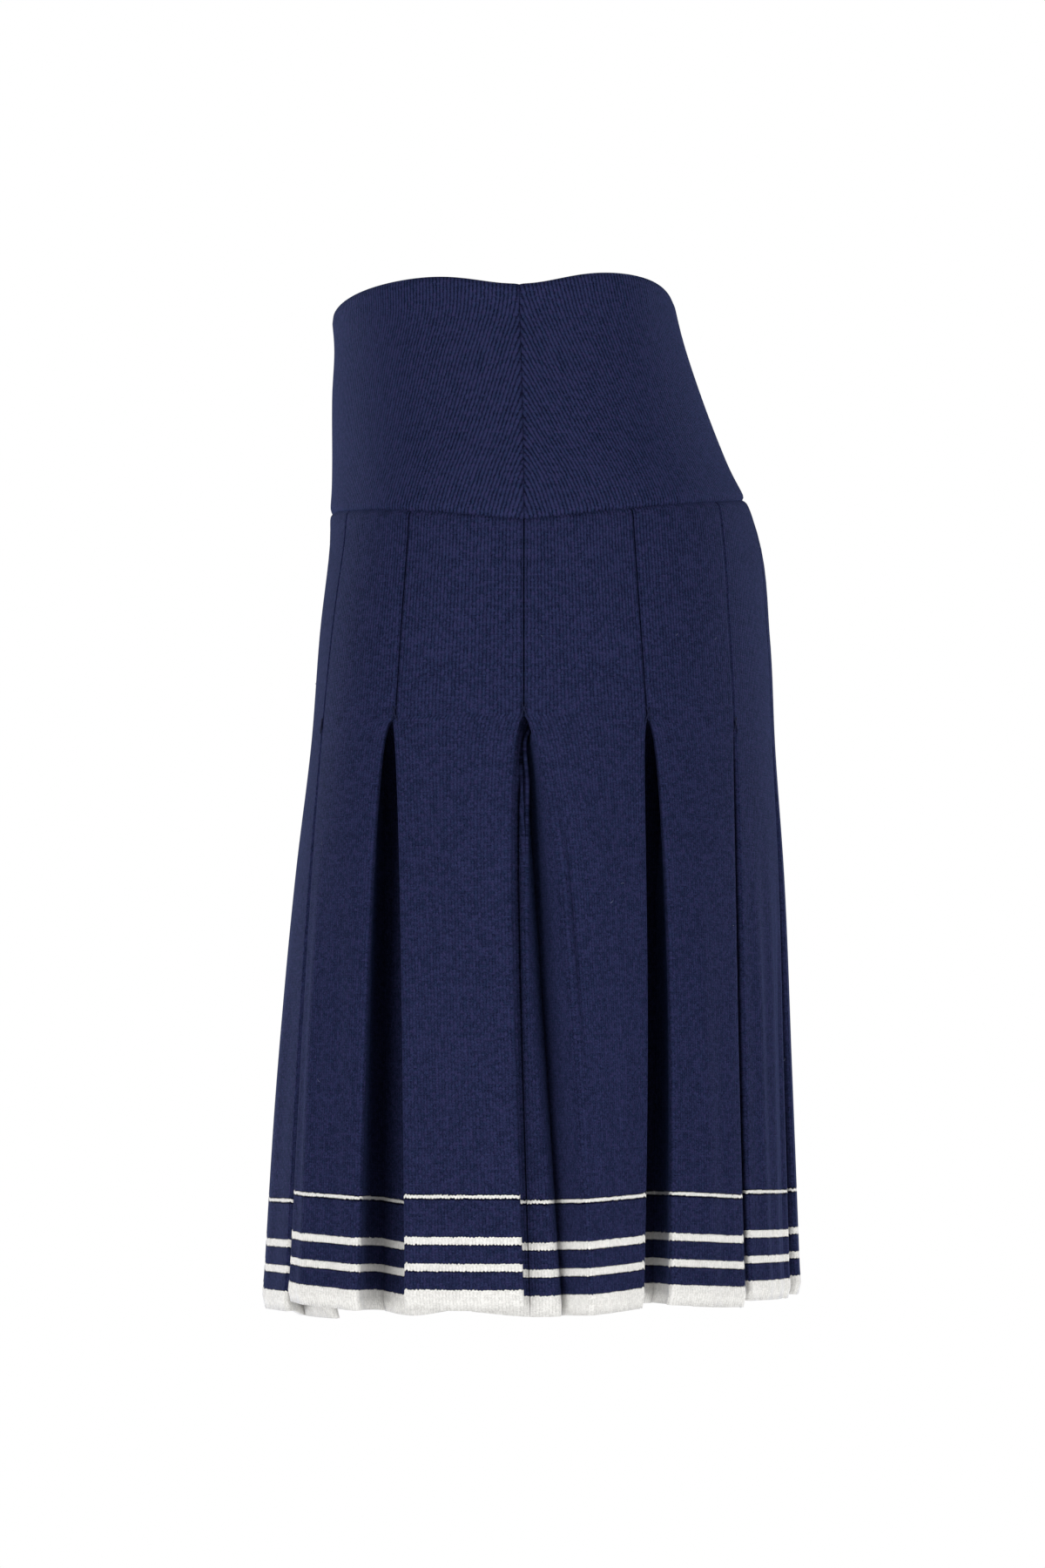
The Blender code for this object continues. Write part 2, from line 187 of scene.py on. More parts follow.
# Soft ridges (height above 0) and troughs on the faces, in millimetres.  Faces are numbered
# from each panel's centre.  `at_top`, `at_hem`, `reach` and `sway` are shares of the face's
# width, counted from there, and a place past 1 lies round the face's edge.  `top` and `full`
# are where the wave starts and is full grown, from 0 at the slit to 1 at the hem.
Wave = namedtuple(
    "Wave", "side is_front face at_top at_hem reach height top full sway", defaults=(0.0,)
)
WAVES = (
    Wave("left", True, 2, 0.20, 0.30, 0.10, 2.0, 0.10, 0.6),
    Wave("left", True, 2, 0.60, 0.72, 0.13, -1.8, 0.15, 0.6),
    Wave("left", True, 3, 0.22, 0.16, 0.10, -1.2, 0.20, 0.8),
    Wave("left", True, 3, 0.55, 0.62, 0.12, 1.0, 0.15, 0.7),
    Wave("left", True, 1, 0.55, 0.45, 0.16, 2.0, 0.20, 0.6),
    Wave("left", False, 3, 1.12, 1.12, 0.14, -7.0, 0.01, 0.25),
    Wave("left", False, 3, 0.985, 0.965, 0.045, 1.6, 0.01, 0.15, -0.05),
    Wave("left", False, 3, 0.90, 0.86, 0.045, -2.8, 0.08, 0.30),
    Wave("left", False, 3, 0.885, 0.86, 0.045, 2.8, 0.42, 0.65),
    Wave("left", False, 3, 0.66, 0.62, 0.08, 0.8, 0.15, 0.5),
    Wave("left", False, 3, 0.30, 0.36, 0.12, 1.3, 0.25, 0.7),
    Wave("left", False, 2, 0.62, 0.55, 0.12, 1.4, 0.15, 0.6),
    Wave("left", False, 2, 0.25, 0.32, 0.10, -1.0, 0.25, 0.7),
    Wave("left", False, 1, 0.75, 0.70, 0.09, 1.8, 0.15, 0.5),
    Wave("left", False, 1, 0.40, 0.45, 0.09, 1.6, 0.10, 0.5),
    Wave("left", False, 1, 0.10, 0.12, 0.07, -2.0, 0.20, 0.6),
    Wave("right", True, 1, 0.50, 0.42, 0.14, 1.9, 0.10, 0.6),
    Wave("right", True, 2, 0.65, 0.55, 0.12, 1.6, 0.20, 0.7),
    Wave("right", True, 2, 0.28, 0.32, 0.10, -1.2, 0.15, 0.6),
    Wave("right", True, 3, 0.30, 0.45, 0.14, -1.4, 0.10, 0.5),
    Wave("right", False, 3, 1.12, 1.12, 0.14, -5.0, 0.03, 0.40),
    Wave("right", False, 3, 0.80, 0.86, 0.070, 1.8, 0.10, 0.5),
    Wave("right", False, 3, 0.40, 0.50, 0.14, 1.4, 0.15, 0.6),
    Wave("right", False, 2, 0.35, 0.30, 0.12, 1.7, 0.15, 0.5),
    Wave("right", False, 1, 0.60, 0.70, 0.12, -1.5, 0.20, 0.7),
)

# ---------------------------------------------------------------- mesh columns and rows
FACE_STEPS = 28
FACE_CROWDING = 0.6       # columns crowd towards a face's edges
FOLD_STEPS = 5
RETURN_STEPS = 5
UNDERLAY_STEPS = 12
STITCHED_STEPS = 14
OPEN_STEPS = 62
OPEN_ROW_POWER = 1.25     # rows crowd towards the slit
YOKE_STEPS = 40
YOKE_COLUMNS = 110
SIDE_SEAM_REST = 5
SIDE_SEAM_COLUMNS = (0.0, 0.0003, 0.0007, 0.0012, 0.0018, 0.0024, 0.0030, 0.0038)
SEAM_ROWS = (0.0, 0.0004, 0.0009, 0.0016, 0.0028, 0.0045, 0.0070)
BEND_REACH = 0.022        # of the underlay's width, on each side of its bend

# ---------------------------------------------------------------- seams and edges
SEAM_DIP = 0.0013
SIDE_SEAM_DIP = 0.0005
SEAM_DIP_REACH = 0.0011
SEAM_PUFF = 0.0007
SEAM_PUFF_REACH = 0.0040
SEAM_FADE = 0.75          # share of the side seam's relief that is gone at the hem
SEAM_STEP = 0.0022        # how much lower the front piece lies where they meet
SEAM_STEP_REACH = 0.0080
LINK_DIP = 0.0006
LINK_PLACE = 0.0022       # how far the linked stitches lie from the side seam
LINK_REACH = 0.0005
# How far along the back piece and how far behind it the front piece's allowance runs.
SEAM_LAP = ((0.0002, 0.0011), (0.0008, 0.0022), (0.0024, 0.0024), (0.0044, 0.0024))
TOP_CURL = 0.0006
TOP_CURL_REACH = 0.0012

# ---------------------------------------------------------------- threads
THREAD_SIDES = 6
THREAD_STEPS = 7
THREAD_RADIUS = 0.00030
TACK_LOW = Vector((0.0020, -0.0018))  # aside from the pleat's line, and above the slit
TACK_HIGH = Vector((0.0012, 0.0062))
TACK_ARCH = 0.0003
LINT_SEED = 7
LINT_FIBRES = 26
LINT_HEIGHTS = (-0.50, -0.02)
LINT_LENGTHS = (0.0012, 0.0042)
LINT_CURL = 2.2
LINT_RADIUS = 0.00009
LINT_PROUD = 0.0001
LINT_ARCH = 0.0006
LINT_MOTTLE_SCALE = 300.0

# ---------------------------------------------------------------- knit
# Painted shade darkens the grooves between the wales: by `groove` from the height `full` upwards
# and by `faint` below the height where it fades, both above the piece's lowest edge.
Knit = namedtuple("Knit", "name wale groove faint worn full tone")
YOKE_KNIT = Knit("navy_rib_knit", 0.00212, 0.75, 0.62, -0.10, 0.02, 1.15)
SKIRT_KNIT = Knit("striped_knit", 0.00187, 0.52, 0.22, 0.22, 0.44, 1.0)
NAVY_DARK = (0.0012, 0.0015, 0.0070, 1.0)
NAVY_TEAL = (0.0200, 0.0315, 0.0850, 1.0)
NAVY_PURPLE = (0.0270, 0.0270, 0.0830, 1.0)
NAVY_TACK = (0.0180, 0.0240, 0.0700, 1.0)
LINT_DARK = (0.04, 0.05, 0.12, 1.0)
LINT_LIGHT = (0.20, 0.22, 0.30, 1.0)
IVORY_DARK = (0.36, 0.35, 0.33, 1.0)
IVORY_LIGHT = (0.78, 0.77, 0.745, 1.0)
COURSE = 0.0014           # height of one stitch
PLAIN_DETAIL = 1.0
WANDER = 0.45             # how far the wales stray, in wales
WANDER_SCALE = 60.0
WOBBLE = 0.35             # and how far each stitch does
WOBBLE_SCALE = 420.0
GROOVE_POWER = 1.6
MEAN_HOLLOW = 1 / (GROOVE_POWER + 1)
STITCH_SHADE = 0.08       # how much darker a stitch's ends are
STITCH_VARIETY = 0.34
HUE_WOBBLE = 1.5          # how much the hue strays with the wobble
HUE_CHANCE = 0.5          # and from stitch to stitch
FIBRE_SCALE = 1300.0
FIBRE_DETAIL = 3.0
FIBRE_ROUGHNESS = 0.7
FIBRE_TONE = 2.00
MOTTLE_SCALE = 170.0
MOTTLE_TONE = 0.16
CLOUD_SCALE = 28.0
CLOUD_TONE = 0.12
BASE_TONE = 0.60
IVORY_TONE = 0.88
IVORY_VARIETY = 0.80
FLECK_SCALE = 620.0
FLECK_LEVEL = 0.64
FLECK_TONE = 4.0
FUZZ = 0.20               # sheen of the loose fibres where the cloth is seen edge on
FUZZ_ROUGHNESS = 0.22
FUZZ_TINT = (0.20, 0.32, 0.85, 1.0)
KNIT_ROUGHNESS = 0.85
KNIT_SPECULAR = 0.01
YARN_ROUGHNESS = 0.8
YARN_SPECULAR = 0.1
RIB_RELIEF = 0.00050
FIBRE_RELIEF = 0.30
EDGE_STRAY = 0.0013       # how unevenly a stripe's edge runs
ZIGZAG = 0.0006           # how far the stitch tips reach across a stripe's edge

# Heights of the ivory stripes and, first, of the hem band, above the hem.
Stripe = namedtuple("Stripe", "low high")
STRIPES = (
    Stripe(-0.02, 0.0101),
    Stripe(0.0196, 0.0232),
    Stripe(0.0330, 0.0367),
    Stripe(0.0563, 0.0581),
)
STRIPE_SHADOW = 0.0008    # the dark line that the raised ivory yarn throws below it
STRIPE_TOP_SHADOW = 0.0004       # and the painted shadow line above it
STRIPE_START = -0.01
STRIPE_SPAN = 0.08

# ---------------------------------------------------------------- flat sizes
YOKE_FLAT = (0.468, 0.137)
YOKE_AREA = 0.0483
SKIRT_FLAT = (1.19, 0.436)


# ---------------------------------------------------------------- outline
def curve_through(heights, values, at):
    """Smooth curve through values at falling heights, read at other heights."""
    slopes = np.gradient(values, heights)
    row = np.clip(np.searchsorted(-heights, -at, side="right") - 1, 0, len(heights) - 2)
    span = heights[row + 1] - heights[row]
    t = np.clip((at - heights[row]) / span, 0.0, 1.0)
    return (
        values[row] * (2 * t ** 3 - 3 * t ** 2 + 1)
        + slopes[row] * span * (t ** 3 - 2 * t ** 2 + t)
        + values[row + 1] * (3 * t ** 2 - 2 * t ** 3)
        + slopes[row + 1] * span * (t ** 3 - t ** 2)
    )


def quarter_curve(across, along, power, steps=300):
    """A quarter of a superellipse, from its tip on the side to its end on the centre line."""
    diagonal = 0.5 ** (1 / power)
    rising = np.linspace(0.0, diagonal, steps)
    falling = np.linspace(diagonal, 0.0, steps)[1:]
    y = np.concatenate([rising, (1 - falling ** power) ** (1 / power)])
    x = np.concatenate([(1 - rising ** power) ** (1 / power), falling])
    return x * across, y * along


def run_along(x, y):
    return np.concatenate([[0.0], np.cumsum(np.hypot(np.diff(x), np.diff(y)))])


def outline_table():
    """x, y and the inward direction on a grid of heights and turns, and quarter lengths."""
    heights = np.arange(TABLE_TOP, TABLE_BOTTOM, -TABLE_STEP)
    turns = np.linspace(-TABLE_TURN_END, TABLE_TURN_END, TABLE_TURNS)
    rows = np.array(SECTIONS)
    sizes = [curve_through(rows[:, 0], rows[:, column], heights) for column in range(1, 7)]
    folded = np.where(np.abs(turns) > 1, np.copysign(2.0, turns) - turns, turns)
    mirror = np.where(np.abs(turns) > 1, -1.0, 1.0)
    places, lengths = [], []
    for front, back, half_width, side_y, front_power, back_power in zip(*sizes):
        front_x, front_y = quarter_curve(half_width, front + side_y, front_power)
        back_x, back_y = quarter_curve(half_width, back - side_y, back_power)
        front_run = run_along(front_x, front_y)
        back_run = run_along(back_x, back_y)
        run = np.concatenate([-front_run[::-1] / front_run[-1], back_run[1:] / back_run[-1]])
        x = np.interp(folded, run, np.concatenate([front_x[::-1], back_x[1:]])) * mirror
        y = np.interp(folded, run, np.concatenate([side_y - front_y[::-1], side_y + back_y[1:]]))
        along = np.hypot(np.gradient(x), np.gradient(y))
        places.append(np.stack([x, y, -np.gradient(y) / along, np.gradient(x) / along], axis=-1))
        lengths.append((front_run[-1], back_run[-1]))
    return heights, np.array(places), np.array(lengths)


HEIGHTS, OUTLINE, QUARTERS = outline_table()


def quarter_length(height, is_front):
    column = 0 if is_front else 1
    return np.interp(-height, -HEIGHTS, QUARTERS[:, column])


def to_turn(height, distance):
    """The turn of a place given by its distance from the side seam line."""
    front = quarter_length(height, True)
    back = quarter_length(height, False)
    return np.where(distance < 0, distance / front, distance / back)


def on_garment(turn, depth, height):
    """World points of places, moved inwards from the outline by their depth."""
    row = np.clip((TABLE_TOP - height) / TABLE_STEP, 0, len(HEIGHTS) - TABLE_MARGIN)
    column = (turn + TABLE_TURN_END) / (2 * TABLE_TURN_END) * (TABLE_TURNS - 1)
    row_low = row.astype(int)
    column_low = np.clip(column.astype(int), 0, TABLE_TURNS - 2)
    down = (row - row_low)[..., None]
    over = (column - column_low)[..., None]
    upper, lower = (
        OUTLINE[line, column_low] * (1 - over) + OUTLINE[line, column_low + 1] * over
        for line in (row_low, row_low + 1)
    )
    place = upper * (1 - down) + lower * down
    x = place[..., 0] + place[..., 2] * depth
    y = place[..., 1] + place[..., 3] * depth
    return np.stack([x, y, height], axis=-1)


def top_height(turn):
    level = TOP_FRONT + (TOP_BACK - TOP_FRONT) * (turn + 1) / 2
    level = level + np.where(turn < 0, TOP_FRONT_HUMP, TOP_BACK_HUMP) * np.sin(math.pi * turn) ** 2
    return level - TOP_SIDE_DIP * np.exp(-((turn / TOP_DIP_REACH) ** 2))


def yoke_seam_height(turn):
    """The yoke seam falls evenly from each centre to the side, and levels out at both."""
    away = np.abs(turn)
    ends = math.hypot(1.0, YOKE_SEAM_ROUNDING) - YOKE_SEAM_ROUNDING
    near = np.hypot(away, YOKE_SEAM_ROUNDING)
    far = np.hypot(1.0 - away, YOKE_SEAM_ROUNDING)
    share = (near - far + ends) / (2 * ends)
    centre = np.where(turn < 0, YOKE_SEAM_FRONT, YOKE_SEAM_BACK)
    return YOKE_SEAM_SIDE + (centre - YOKE_SEAM_SIDE) * share


# ---------------------------------------------------------------- pleats
def fold(centre, radius, side, start, end):
    """Points of the cloth round a fold, between two headings in radians.

    side is 1 where the cloth turns inwards round the fold, and -1 where it turns back.
    """
    headings = np.linspace(start, end, FOLD_STEPS + 1)
    return [
        (centre.x + side * radius * math.sin(angle), centre.y - side * radius * math.cos(angle))
        for angle in headings
    ]


def heading(start, end, crossing):
    """Heading of the straight cloth between two folds; crossing is how far it changes sides."""
    line = end - start
    return math.atan2(line.y, line.x) + math.asin(max(-1.0, min(1.0, crossing / line.length)))


def straight(start, end, steps, bow=0.0):
    """Points between two ends, left out, bowed sideways by a share of their distance."""
    run = Vector(end) - Vector(start)
    aside = Vector((-run.y, run.x)) * bow
    shares = np.linspace(0.0, 1.0, steps + 1)[1:-1]
    return [
        tuple(Vector(start) + run * share + aside * math.sin(math.pi * share)) for share in shares
    ]


Cut = namedtuple("Cut", "ledge middle opening width crease soft_edge seam_share")


def pleat_path(ledge, middle, opening, width, crease, soft_edge, seam_share):
    """The cloth's mid surface through one pleat, as (distance, depth) points.

    The cloth turns in round the front face's edge, back round the inner fold behind that
    face, across as the underlay, round the other inner fold, and out round the back
    face's edge.  It doesn't stretch, so a wider opening takes the underlay deeper.
    """
    skin = WALL / 2
    half_gap = opening / 2
    depth = math.sqrt(width * opening - half_gap ** 2)
    if ledge:
        depth *= LEDGE_DEPTH
    front_fold = middle - half_gap - math.sqrt(width ** 2 - depth ** 2)
    bend = Vector((middle - half_gap + ledge * opening, depth))
    rear = front_fold + 2 * width - bend.x
    dive = 0.0
    if ledge:
        reach = middle + half_gap - DIVE_SHORT - bend.x
        dive = math.acos(max(0.0, min(DIVE_FLATTEST, reach / rear)))
        dive *= min(1.0, opening / DIVE_OPENING)
    deepest = bend + Vector((math.cos(dive), math.sin(dive))) * rear
    bend_share = (bend.x - front_fold) / (2 * width)
    clear = half_gap + CLOSED_OPENING / 2 + skin
    drop = Vector((0.0, skin + 3 * FOLD_RADIUS))
    front_edge = Vector((middle - clear - crease, skin + crease))
    back_edge = Vector((middle + clear + soft_edge, skin + soft_edge))
    front_inner = Vector((front_fold + FOLD_RADIUS, depth)) + drop
    back_inner = Vector((deepest.x - FOLD_RADIUS, deepest.y)) + drop
    way_in = heading(front_edge, front_inner, FOLD_RADIUS + crease)
    way_to_bend = heading(front_inner, bend + drop, 0.0)
    way_from_bend = heading(bend + drop, back_inner, 0.0)
    way_out = heading(back_inner, back_edge, -FOLD_RADIUS - soft_edge)
    edge_in = fold(front_edge, crease, 1, 0.0, way_in)
    turn_back = fold(front_inner, FOLD_RADIUS, -1, way_in, way_to_bend)
    turn_out = fold(back_inner, FOLD_RADIUS, -1, way_from_bend, way_out)
    edge_out = fold(back_edge, soft_edge, 1, way_out, 0.0)
    bow = RETURN_BOW * depth / width
    corner = bend + drop + Vector((0.0, FOLD_RADIUS))
    across = underlay_points(turn_back[-1], corner, turn_out[0], bend_share, seam_share)
    return (
        edge_in
        + straight(edge_in[-1], turn_back[0], RETURN_STEPS, bow)
        + turn_back
        + across
        + turn_out
        + straight(turn_out[-1], edge_out[0], RETURN_STEPS, bow)
        + edge_out
    )


def underlay_points(start, bend, end, bend_share, seam_share):
    """Points across the underlay, rounded at its bend, with a gap at its seam if it has one."""
    first, second = bend - Vector(start), Vector(end) - bend
    points = []
    for share in underlay_shares(seam_share):
        near = share / bend_share
        far = (share - bend_share) / (1 - bend_share)
        blend = max(0.0, min(1.0, (share - bend_share) / BEND_REACH / 2 + 0.5))
        blend = blend * blend * (3 - 2 * blend)
        point = (Vector(start) + first * near) * (1 - blend) + (bend + second * far) * blend
        points.append(tuple(point))
    return points


def underlay_shares(seam_share):
    """Shares of the underlay's width at its columns, which crowd on both sides of a seam."""
    if seam_share is None:
        return np.linspace(0.0, 1.0, UNDERLAY_STEPS + 1)[1:-1]
    beside = (np.array(SIDE_SEAM_COLUMNS) + SEAM_GAP / 2) / (2 * RETURN_WIDTH)
    before = np.linspace(0.0, seam_share - beside[-1], SIDE_SEAM_REST + 1)[1:]
    after = np.linspace(seam_share + beside[-1], 1.0, SIDE_SEAM_REST + 1)[:-1]
    near = [seam_share - beside[-2::-1], seam_share + beside[:-1]]
    return np.concatenate([before, *near, after])


FOLD_POINTS = FOLD_STEPS + 1
UNDERLAY_START = 2 * FOLD_POINTS + RETURN_STEPS - 1
SEAM_COLUMN = UNDERLAY_START + SIDE_SEAM_REST + len(SIDE_SEAM_COLUMNS) - 1


def side_seam_relief(path, strength):
    """The side pleat's path with its seam and its row of linked stitches pressed in."""
    seam = (Vector(path[SEAM_COLUMN - 1]) + Vector(path[SEAM_COLUMN])) / 2
    pressed = []
    for index, point in enumerate(path):
        away = (Vector(point) - seam).length * (-1 if index < SEAM_COLUMN else 1)
        dip = 0.0
        if UNDERLAY_START <= index and abs(away) < SIDE_SEAM_COLUMNS[-1]:
            dip = SIDE_SEAM_DIP * math.exp(-((away / SEAM_DIP_REACH) ** 2))
            dip += LINK_DIP * math.exp(-(((away + LINK_PLACE) / LINK_REACH) ** 2))
        if index < SEAM_COLUMN and abs(away) < SEAM_STEP_REACH:
            dip += SEAM_STEP * (1 - abs(away) / SEAM_STEP_REACH)
        pressed.append((point[0], point[1] + dip * strength))
    return pressed


def seam_lap(path):
    """The front piece's seam allowance, which lies behind the back piece."""
    edge = Vector(path[SEAM_COLUMN - 1])
    along = (Vector(path[SEAM_COLUMN + 3]) - edge).normalized()
    inward = Vector((-along.y, along.x))
    return [tuple(edge + along * run + inward * drop) for run, drop in SEAM_LAP]


def column_lengths(seam_share, soft_edge):
    """Relaxed lengths of the cloth along a pleat's path, and its share of the underlay's drop."""
    turn = np.full(FOLD_STEPS, math.pi * FOLD_RADIUS / FOLD_STEPS)
    roll = turn * max(1.0, soft_edge / FOLD_RADIUS)
    side = np.full(RETURN_STEPS, RETURN_WIDTH / RETURN_STEPS)
    shares = np.concatenate([[0.0], underlay_shares(seam_share), [1.0]])
    across = np.diff(shares) * 2 * RETURN_WIDTH
    steps = np.concatenate([turn, side, turn, across, turn, side, roll])
    lengths = np.concatenate([[0.0], np.cumsum(steps)])
    inner = RETURN_WIDTH + 1.5 * math.pi * FOLD_RADIUS
    under = np.minimum(1.0, np.minimum(lengths, lengths[-1] - lengths) / inner)
    return lengths, under * under * (3 - 2 * under)


FACE_SHARES = np.linspace(0.0, 1.0, FACE_STEPS + 1)
FACE_SHARES = FACE_SHARES - FACE_CROWDING * np.sin(2 * math.pi * FACE_SHARES) / (2 * math.pi)

Columns = namedtuple("Columns", "distance depth length face_share face_number under hang sink")


def face_columns(number, start, end, length, hang_start, hang_end):
    """Columns across a face, and the cloth's length at its end.  Face 0 is a half one."""
    shares = FACE_SHARES[:-1] if number else FACE_SHARES[FACE_STEPS // 2 : -1]
    across = shares if number else 2 * shares - 1
    width = FACE_WIDTH * (1.0 if number else 0.5)
    none = np.zeros(len(shares))
    columns = Columns(
        start + (end - start) * across,
        none + WALL / 2,
        length + width * across,
        shares,
        none + number,
        none,
        hang_start + (hang_end - hang_start) * across,
        none,
    )
    return columns, length + width


def half_panel(row_cuts, hangs, is_front, relief):
    """Columns of one panel's left half at one row, from its centre to the side seam.

    row_cuts holds every pleat's cut, and the distance of the panel's centre.
    relief is the share of the side seam's relief that is left at this row.
    """
    cuts, centre = row_cuts
    cuts = cuts[: SIDE_PLEAT + 1] if is_front else cuts[SIDE_PLEAT:][::-1]
    parts = []
    length = 0.0
    last = centre
    last_hang = hangs[0].front if is_front else hangs[-1].back
    order = hangs[: SIDE_PLEAT + 1] if is_front else hangs[SIDE_PLEAT:][::-1]
    for number, (cut, hang) in enumerate(zip(cuts, order)):
        has_seam = cut.seam_share is not None
        path = pleat_path(*cut)
        lengths, under = column_lengths(cut.seam_share, cut.soft_edge)
        if has_seam:
            path = side_seam_relief(path, relief)
            lap = seam_lap(path)
        path = np.array(path)
        near, far = hang.front, hang.back
        if not is_front:
            path = path[::-1]
            lengths = lengths[-1] - lengths[::-1]
            under = under[::-1]
            near, far = far, near
        face, length = face_columns(number, last, path[0, 0], length, last_hang, near)
        parts.append(face)
        keep = len(path)
        if has_seam:
            keep = SEAM_COLUMN if is_front else len(path) - SEAM_COLUMN
        if has_seam and is_front:
            path[keep : keep + len(lap)] = lap
            keep += len(lap)
        is_near = np.arange(len(path)) < len(path) / 2
        edge = np.where(is_near, near, far)
        low = np.minimum(1.0, (1 - np.abs(2 * lengths / lengths[-1] - 1)) / hang.reach)
        low = (low * low * (3 - 2 * low)) ** 2
        past_edge = np.abs(path[:, 0] - np.where(is_near, path[0, 0], path[-1, 0])) / FACE_WIDTH
        parts.append(
            Columns(
                path[:keep, 0],
                path[:keep, 1],
                length + lengths[:keep],
                np.where(is_near, 1.0 + past_edge, -past_edge)[:keep],
                np.where(is_near, number, number + 1)[:keep],
                under[:keep],
                (edge + (hang.under - edge) * low)[:keep],
                (hang.sink * under)[:keep],
            )
        )
        length += lengths[-1]
        last = path[-1, 0]
        last_hang = far
    return Columns(*(np.concatenate(values) for values in zip(*parts)))


def opening_share(fall, power):
    """The opening at a share of the way from the slit to the hem, as a share of the hem's."""
    onset = OPENING_ONSET ** power
    return ((fall + OPENING_ONSET) ** power - onset) / ((1 + OPENING_ONSET) ** power - onset)


def cuts_at(level, fall):
    """Every pleat's cut on one side.

    level runs from 0 at the yoke seam to 1 at the slit, and fall from there to the hem.
    """
    relaxed = min(1.0, fall / RELAXED_BY)
    width = RETURN_WIDTH_SLIT + (RETURN_WIDTH - RETURN_WIDTH_SLIT) * relaxed
    crease = STITCHED_RADIUS + (FOLD_RADIUS - STITCHED_RADIUS) * relaxed
    cuts = []
    for pleat in PLEATS:
        middle = pleat.at_yoke + (pleat.at_slit - pleat.at_yoke) * level
        middle += (pleat.at_hem - pleat.at_slit) * fall ** pleat.drift_power
        middle += pleat.sway * math.sin(math.pi * fall)
        opening = max(LEAST_OPENING, pleat.opening * opening_share(fall, pleat.open_power))
        ledge, soft, seam_share = 0.0, crease, None
        if pleat.name == "side":
            ledge = float(np.interp(fall, *zip(*LEDGE_SHARES)))
            soft += (SOFT_EDGE - FOLD_RADIUS) * relaxed
            slipped = max(0.0, (fall - SIDE_SEAM_SLIPS) / (1 - SIDE_SEAM_SLIPS))
            seam_share = SIDE_SEAM_SHARE + (SIDE_SEAM_AT_HEM - SIDE_SEAM_SHARE) * slipped
        cuts.append(Cut(ledge, middle, opening, width, crease, soft, seam_share))
    return cuts


def skirt_rows():
    """(level, fall) of every row, from the top down."""
    rows = [(drop / STITCHED_DEPTH, 0.0) for drop in SEAM_ROWS]
    rows += [(level, 0.0) for level in np.linspace(rows[-1][0], 1.0, STITCHED_STEPS + 1)[1:]]
    rows += [(1.0, (step / OPEN_STEPS) ** OPEN_ROW_POWER) for step in range(1, OPEN_STEPS + 1)]
    return rows


def skirt_half(side, is_front):
    """Points and cloth coordinates of one panel's half, rows from the top down."""
    points, cloth = [], []
    sign = -1.0 if is_front else 1.0
    for level, fall in skirt_rows():
        nominal = YOKE_SEAM_SIDE + (SLIT - YOKE_SEAM_SIDE) * level + (HEM - SLIT) * fall
        centre = sign * float(quarter_length(nominal, is_front))
        row_cuts = cuts_at(level, fall), centre
        columns = half_panel(row_cuts, HANGS[side], is_front, 1 - SEAM_FADE * fall)
        turn = to_turn(nominal, columns.distance)
        seam = yoke_seam_height(turn)
        height = seam + (SLIT - seam) * level + (HEM - SLIT) * fall
        cloth_height = height - HEM
        height = height - columns.hang * MILLIMETRE * fall
        depth = columns.depth + seam_dip((seam - height) * (1 - fall))
        depth = depth + columns.sink * MILLIMETRE * min(1.0, fall / SUNK_BY)
        depth = depth - waves(side, is_front, columns, fall)
        points.append(on_garment(turn, depth, height))
        cloth.append(np.stack([columns.length, cloth_height], axis=-1))
    return np.array(points), np.array(cloth)


def seam_dip(distance):
    """How far the cloth dips in beside a seam, and how it puffs out just past it."""
    dip = SEAM_DIP * np.exp(-((distance / SEAM_DIP_REACH) ** 2))
    puff = distance / SEAM_PUFF_REACH
    return dip - SEAM_PUFF * puff * np.exp(1 - puff)


def waves(side, is_front, columns, fall):
    """How far the faces stand out from the even surface, in soft ridges and troughs."""
    out = np.zeros_like(columns.distance)
    for wave in WAVES:
        if wave.side != side or wave.is_front != is_front or fall <= wave.top:
            continue
        grown = min(1.0, (fall - wave.top) / (wave.full - wave.top))
        grown = grown * grown * (3 - 2 * grown)
        down = (fall - wave.top) / (1 - wave.top)
        place = wave.at_top + (wave.at_hem - wave.at_top) * down
        place += wave.sway * math.sin(math.pi * down)
        away = (columns.face_share - place) / wave.reach
        shown = (columns.face_number == wave.face) * (1 - columns.under)
        out = out + shown * wave.height * grown * np.exp(-away * away)
    return out * MILLIMETRE


def yoke_half(side, is_front):
    """Points and cloth coordinates of a yoke piece's half, from its centre to the seam."""
    air = SEAM_GAP / 2
    near = (np.array(SEAM_ROWS) + air) / float(quarter_length(YOKE_SEAM_SIDE, is_front))
    shares = np.concatenate([np.linspace(1.0, near[-1], YOKE_COLUMNS), near[:-1][::-1]])
    turn = shares * (-1.0 if is_front else 1.0)
    low = yoke_seam_height(turn) + SEAM_GAP
    high = top_height(turn)
    points, cloth = [], []
    for number in range(YOKE_STEPS + len(SEAM_ROWS)):
        if number < len(SEAM_ROWS):
            above = np.full(len(turn), SEAM_ROWS[number])
        else:
            share = (number - len(SEAM_ROWS) + 1) / YOKE_STEPS
            above = SEAM_ROWS[-1] + (high - low - SEAM_ROWS[-1]) * share
        height = low + above
        quarter_here = quarter_length(height, is_front)
        depth = WALL / 2 + seam_dip(above) + seam_dip(np.abs(turn) * quarter_here - air)
        depth = depth + TOP_CURL * np.exp(-(((high - height) / TOP_CURL_REACH) ** 2))
        points.append(on_garment(turn, depth, height))
        across = (1 - np.abs(turn)) * quarter_here
        cloth.append(np.stack([across, height - YOKE_SEAM_SIDE], axis=-1))
    return np.array(points[::-1]), np.array(cloth[::-1])


